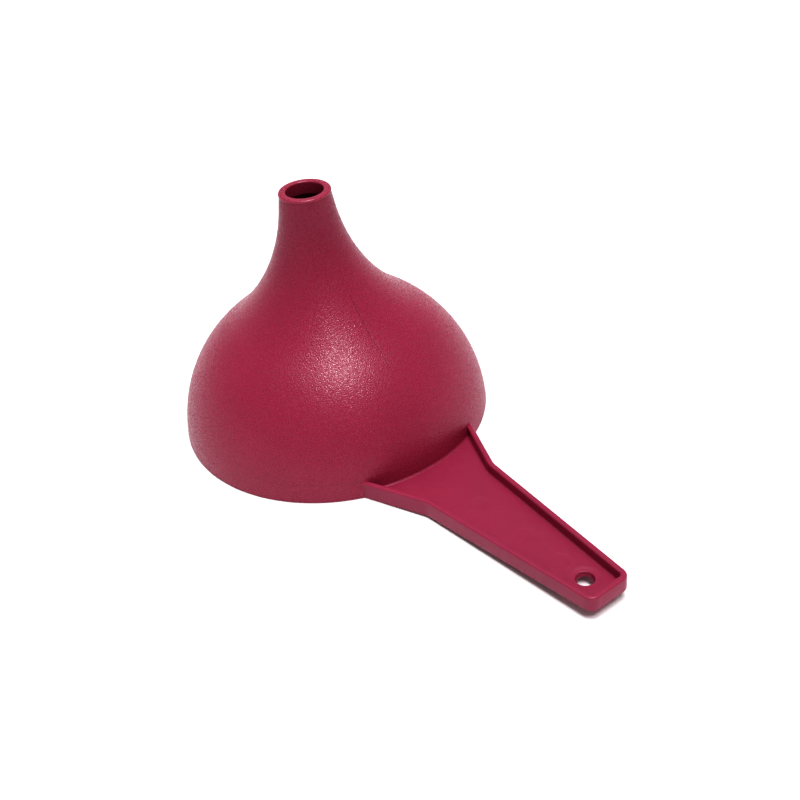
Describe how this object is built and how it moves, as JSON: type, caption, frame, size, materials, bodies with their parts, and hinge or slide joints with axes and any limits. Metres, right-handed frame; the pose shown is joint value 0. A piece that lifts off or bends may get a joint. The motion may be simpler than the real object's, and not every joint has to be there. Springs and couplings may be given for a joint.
{
  "type": "hand funnel",
  "caption": "Small one-piece plastic hand funnel with a domed bowl, a flared neck, a short spout and a flat channel handle with a hang hole.",
  "frame": {"origin": "centre of the mouth in the plane of its rim, on which the funnel stands", "axes": "+Z along the funnel's axis out of the spout, +X along the handle away from the bowl, +Y to the left of the handle"},
  "size_m": [0.1123, 0.064, 0.0504],
  "materials": {
    "bell": "berry red polypropylene moulded against a fine spark-eroded cavity, satin",
    "lip": "berry red polypropylene, smooth shut-off face of the spout",
    "handle": "berry red polypropylene moulded against a stoned cavity, smooth semi-matt"
  },
  "bodies": {
    "root": {"mouth_rim": "bell", "bowl": "bell", "neck": "bell", "spout": "bell", "spout_lip": "lip", "handle_web": "handle", "handle_rail_left": "handle", "handle_rail_right": "handle", "handle_end_rail": "handle", "hang_hole_eye": "handle"}
  },
  "joints": []
}
